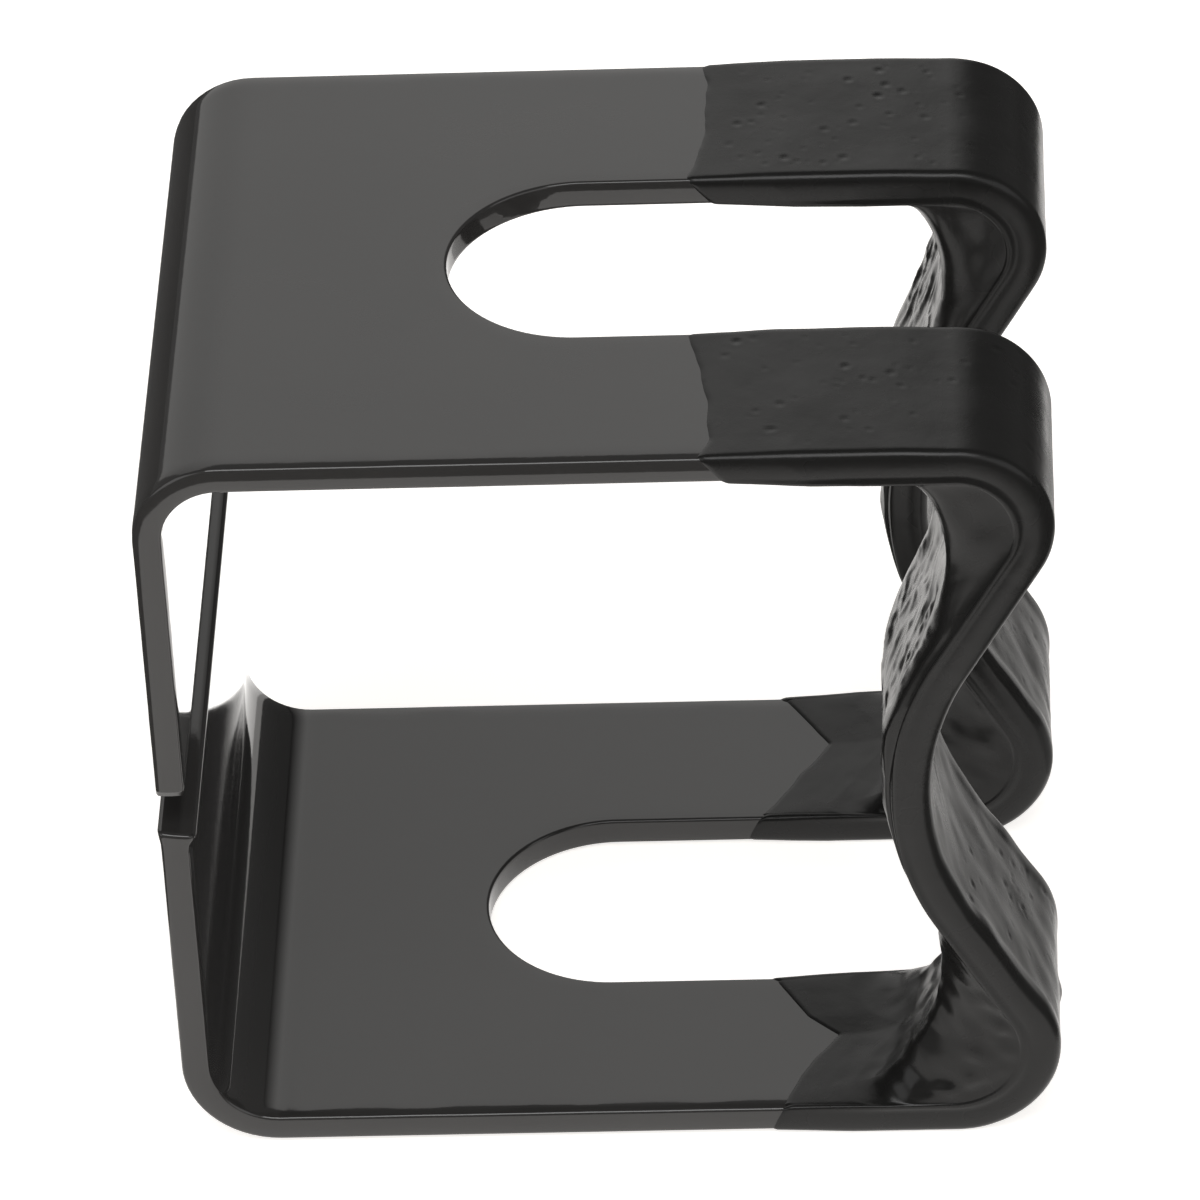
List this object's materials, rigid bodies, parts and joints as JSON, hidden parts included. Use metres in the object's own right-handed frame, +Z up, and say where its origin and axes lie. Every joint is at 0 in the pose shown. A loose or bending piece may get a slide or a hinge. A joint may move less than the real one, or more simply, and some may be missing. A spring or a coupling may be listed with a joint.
{
  "type": "formed strap clip",
  "caption": "Flat steel strap bent into a box-shaped clip, with a gap in its back wall, and a slot that leaves two inward-folded fingers in dipped vinyl coats.",
  "frame": {"origin": "centre of the bounding box's bottom", "axes": "+X from the gap in the back wall towards the two fingers, +Y across the strap to the rear, +Z up from the bottom plate to the top plate"},
  "size_m": [0.0921, 0.071, 0.0883],
  "materials": {
    "black_paint": "gloss",
    "black_vinyl": "matt"
  },
  "bodies": {
    "lower_half": {"strap_lower": "black_paint", "front_vinyl_lower": "black_vinyl", "rear_vinyl_lower": "black_vinyl"},
    "upper_half": {"strap_upper": "black_paint", "front_vinyl_upper": "black_vinyl", "rear_vinyl_upper": "black_vinyl"}
  },
  "joints": [
    {"name": "clip_flex", "type": "hinge", "parent": "lower_half", "child": "upper_half", "pos_m": [0.03086, 0, 0.04452], "axis": [0, 1, 0], "range_deg": [-3, 5], "stiffness_Nm_per_rad": 110}
  ]
}
